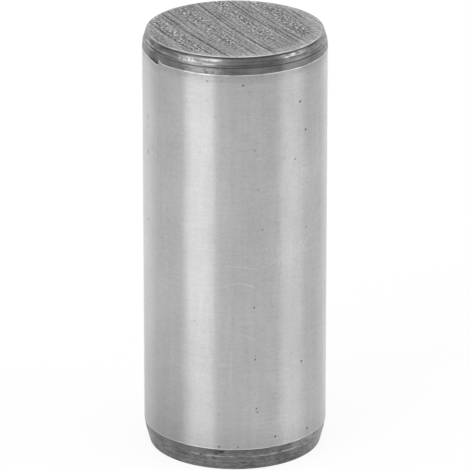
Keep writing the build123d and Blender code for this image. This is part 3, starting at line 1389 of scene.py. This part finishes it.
    def build(self) -> bpy.types.Object:
        """Builds the pin, dresses it and puts it in the CAD solid's place.

        Returns:
            The finished piece.
        """
        pin = bpy.data.objects.new("pin_skin", self.half_section())
        bpy.context.scene.collection.objects.link(pin)
        pits = bpy.data.objects.new("pit_places", self.pit_places())
        tree = self.pin_tree()
        modifier = pin.modifiers.new("turned", "NODES")
        modifier.node_group = tree
        floor_radius = (self.radius - self.chip.depth) * MM
        face_radius = self.upper.rows(self.radius)[0].radius
        edges = (self.lower.height, self.length - self.upper.height)
        values = {
            "Across": self.across,
            "Along": self.along,
            "Turning depth": self.turning_depth * MM,
            "Edge waviness": self.edge_waviness * MM,
            "Chip angle": math.radians(MARKS.azimuth - self.chip.azimuth),
            "Chip floor": floor_radius,
            "Chip drop": self.chip.drop * MM,
            "Chip wall": floor_radius * math.tan(math.radians(self.chip.wall_angle)),
            "Chip tail": floor_radius * math.tan(math.radians(self.chip.tail_angle)),
            "Burr rise": self.chip.burr_rise * MM,
            "Burr run": self.chip.burr_run * MM,
            "Seed": self.edge_seed,
            "Mark azimuth": math.radians(MARKS.azimuth),
            "Mark depth": self.mark_depth * MM,
            "Tear depth": self.tear_depth * MM,
            "Barrel finish": GroundSteel().material(self.pits + self.stains_and_shade, edges),
            "Lead-in finish": BlackScale().material(self.rings()),
            "Face finish": WheelCutSteel().material(face_radius),
            "Pit finish": PitOxide().material(),
            "Pits": pits,
            "Pit roughness": self.pit_roughness * MM,
        }
        for item in tree.interface.items_tree:
            if item.in_out == "INPUT" and item.name in values:
                modifier[item.identifier] = values[item.name]
        graph = bpy.context.evaluated_depsgraph_get()
        skin = bpy.data.meshes.new_from_object(pin.evaluated_get(graph))
        skin.materials.pop(index=0)
        pin.modifiers.clear()
        pin.data = skin
        bpy.data.objects.remove(pits)
        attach(pin, BODY)
        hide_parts(NODE)
        return pin


# ---------------------------------------------------------------------------------------- the studio


@dataclass(frozen=True)
class Softbox:
    """An upright light panel that faces the pin.

    Its place and its size are given as it is seen from the pin: azimuths and elevations in degrees.
    """

    name: str
    azimuth: float
    spread: float
    bottom: float
    top: float
    brightness: float
    distance: float = 0.8

    def light(self) -> None:
        """Puts the panel's lamp in the scene."""
        low = self.distance * math.tan(math.radians(self.bottom))
        high = self.distance * math.tan(math.radians(self.top))
        data = bpy.data.lights.new(self.name, "AREA")
        data.shape = "RECTANGLE"
        data.size = 2 * self.distance * math.tan(math.radians(self.spread / 2))
        data.size_y = high - low
        data.energy = math.pi * self.brightness * data.size * data.size_y
        lamp = bpy.data.objects.new(self.name, data)
        lamp.location = compass(self.azimuth) * self.distance + Vector((0, 0, (low + high) / 2))
        lamp.rotation_mode = "QUATERNION"
        lamp.rotation_quaternion = compass(self.azimuth).to_track_quat("Z", "Y")
        bpy.context.scene.collection.objects.link(lamp)


@dataclass
class Studio:
    """A pale floor, an even room, softboxes and the camera.

    The floor's radius and the clipping are in metres, and the camera's distance and lens in millimetres.
    """

    room: float = 0.9
    floor_colour: str = "#F2F2F2"
    floor_radius: float = 3.0
    floor_corners: int = 64
    floor_white: float = 0.88
    softboxes: tuple[Softbox, ...] = (
        Softbox("softbox_left", -44.7, 38.4, 8.0, 35.0, 4.7),
        Softbox("softbox_right", 75.7, 33.6, 8.0, 35.0, 2.6),
        Softbox("panel_behind", 183.0, 104.0, 0.5, 12.0, 2.4),
        Softbox("panel_left", -123.0, 20.0, 0.5, 12.0, 1.6),
        Softbox("fill_left", -92.0, 46.0, 8.0, 35.0, 0.25),
        Softbox("fill_front", -15.0, 20.0, 8.0, 35.0, 0.4),
    )
    camera_azimuth: float = 0.0
    camera_elevation: float = 21.0
    camera_distance: float = 465.6
    lens: float = 409.0
    clip_start: float = 0.01

    def build(self) -> None:
        """Builds the floor, the lights and the camera."""
        self.floor()
        self.world()
        for box in self.softboxes:
            box.light()
        self.camera()

    def floor(self) -> None:
        """Builds the floor, a disc that the pin stands on."""
        mesh = bpy.data.meshes.new("floor")
        step = 2 * math.pi / self.floor_corners
        ring = [
            (self.floor_radius * math.cos(step * i), self.floor_radius * math.sin(step * i), 0)
            for i in range(self.floor_corners)
        ]
        mesh.from_pydata(ring, [], [range(self.floor_corners)])
        made, add, shader = new_material("pale_floor")
        fill(shader, {"Base Color": linear(self.floor_colour), "Roughness": 1.0, "Specular IOR Level": 0.0})

        # Seen directly or in the steel it is nearly white, and otherwise it is a plain pale floor
        ray = add("ShaderNodeLightPath").outputs
        seen = add(MATH, (ray["Is Camera Ray"], ray["Is Glossy Ray"]), "MAXIMUM")
        seen = add(MATH, (seen, ray["Is Transmission Ray"]), "MAXIMUM")
        share = add(MATH, (seen, self.floor_white), "MULTIPLY")
        white = add("ShaderNodeEmission", {"Strength": 1.0})
        both = add("ShaderNodeMixShader", {0: share, 1: shader, 2: white})
        fill(made.node_tree.nodes["Material Output"], {"Surface": both})
        mesh.materials.append(made)
        floor = bpy.data.objects.new("floor", mesh)
        bpy.context.scene.collection.objects.link(floor)

    def world(self) -> None:
        """Lights the room evenly."""
        world = bpy.data.worlds.new("room")
        world.use_nodes = True
        background = world.node_tree.nodes["Background"]
        background.inputs["Color"].default_value = (1.0, 1.0, 1.0, 1.0)
        background.inputs["Strength"].default_value = self.room
        bpy.context.scene.world = world

    def camera(self) -> None:
        """Puts the camera in front of the pin, looking at its middle."""
        data = bpy.data.cameras.new("camera")
        data.lens = self.lens
        data.clip_start = self.clip_start
        camera = bpy.data.objects.new("camera", data)
        low, high = CAD_BOX
        towards = compass(self.camera_azimuth, self.camera_elevation)
        camera.location = (low + high) / 2 + towards * self.camera_distance * MM
        camera.rotation_mode = "QUATERNION"
        camera.rotation_quaternion = towards.to_track_quat("Z", "Y")
        bpy.context.scene.collection.objects.link(camera)
        bpy.context.scene.camera = camera


def main() -> None:
    logging.basicConfig(level=logging.INFO, format="%(name)s: %(message)s")
    bpy.context.scene.view_settings.view_transform = "Standard"
    Studio().build()
    pin = PistonPin().build()
    log.info("%s: %d faces", pin.name, len(pin.data.polygons))


if __name__ == "__main__":
    main()
